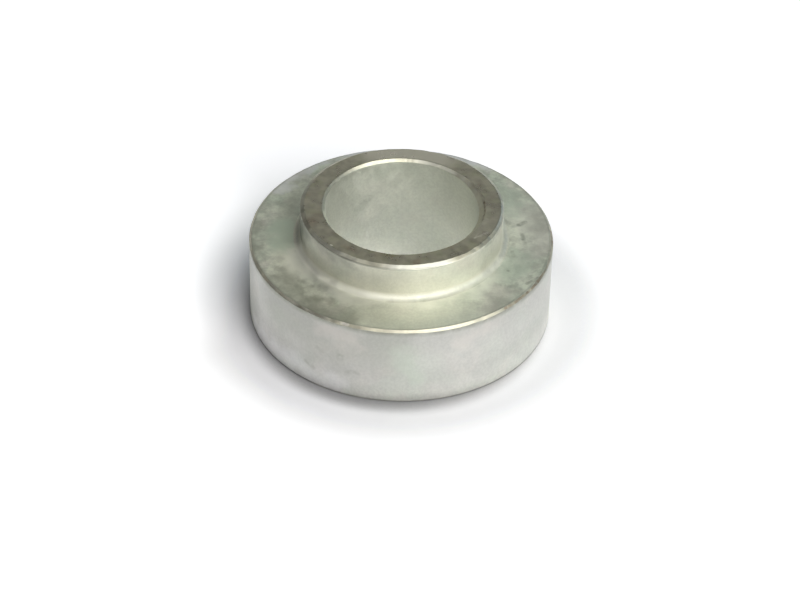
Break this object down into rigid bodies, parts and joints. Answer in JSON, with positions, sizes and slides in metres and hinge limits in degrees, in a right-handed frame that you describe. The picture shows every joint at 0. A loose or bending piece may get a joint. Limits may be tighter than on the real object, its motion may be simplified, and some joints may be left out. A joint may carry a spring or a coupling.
{
  "type": "spacer sleeve",
  "caption": "Turned metal spacer ring with a plain through bore, a wide flange that bears on one neighbour and a short narrower nose that reaches the other.",
  "frame": {"origin": "centre of the flat back face, on the bore's axis", "axes": "+Z along the bore's axis, from the back face towards the nose; X and Y are free, because the part is round"},
  "size_m": [0.024, 0.024, 0.01],
  "materials": {
    "satin_metal": "satin, finely blasted on the flange and nose walls, bare and finely turned on the nose face and the broken edges"
  },
  "bodies": {
    "root": {"spacer_sleeve": "satin_metal"}
  },
  "joints": []
}
